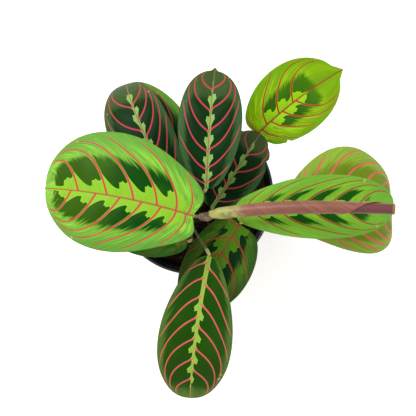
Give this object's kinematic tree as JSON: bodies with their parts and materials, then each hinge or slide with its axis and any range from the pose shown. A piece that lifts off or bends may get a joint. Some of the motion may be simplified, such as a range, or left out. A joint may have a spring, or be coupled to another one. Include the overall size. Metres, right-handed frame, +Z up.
{
  "type": "potted prayer plant",
  "caption": "Red-veined prayer plant with patterned oval leaves on thin stalks and one rolled new leaf, growing in a round nursery pot.",
  "frame": {"origin": "centre of the pot's underside", "axes": "+Z up through the pot, +X towards the rolled leaf, +Y towards the upright dark leaf at the back"},
  "size_m": [0.2484, 0.25, 0.1993],
  "materials": {
    "pot": "slightly glossy black",
    "soil": "moist, rough",
    "stem": "satin",
    "node": "dull",
    "rolled": "satin",
    "stalk": "satin",
    "leaf_bright": "satin",
    "leaf_dark": "satin",
    "leaf_lime": "satin",
    "leaf_olive": "satin"
  },
  "bodies": {
    "root": {"pot": "pot", "soil": "soil", "main_stem": "stem", "stem_node": "node", "rolled_leaf": "rolled", "blade_left": "leaf_bright", "stalk_left": "stalk", "blade_upper_left": "leaf_dark", "stalk_upper_left": "stalk", "blade_back_left": "leaf_dark", "stalk_back_left": "stalk", "blade_top": "leaf_dark", "stalk_top": "stalk", "blade_right_dark": "leaf_dark", "stalk_right_dark": "stalk", "blade_upper_right": "leaf_lime", "stalk_upper_right": "stalk", "blade_far_right": "leaf_olive", "stalk_far_right": "stalk", "blade_right": "leaf_bright", "stalk_right": "stalk", "blade_bottom": "leaf_dark", "stalk_bottom": "stalk", "blade_lower_right": "leaf_dark", "stalk_lower_right": "stalk", "blade_lower_left": "leaf_bright", "stalk_lower_left": "stalk"}
  },
  "joints": []
}
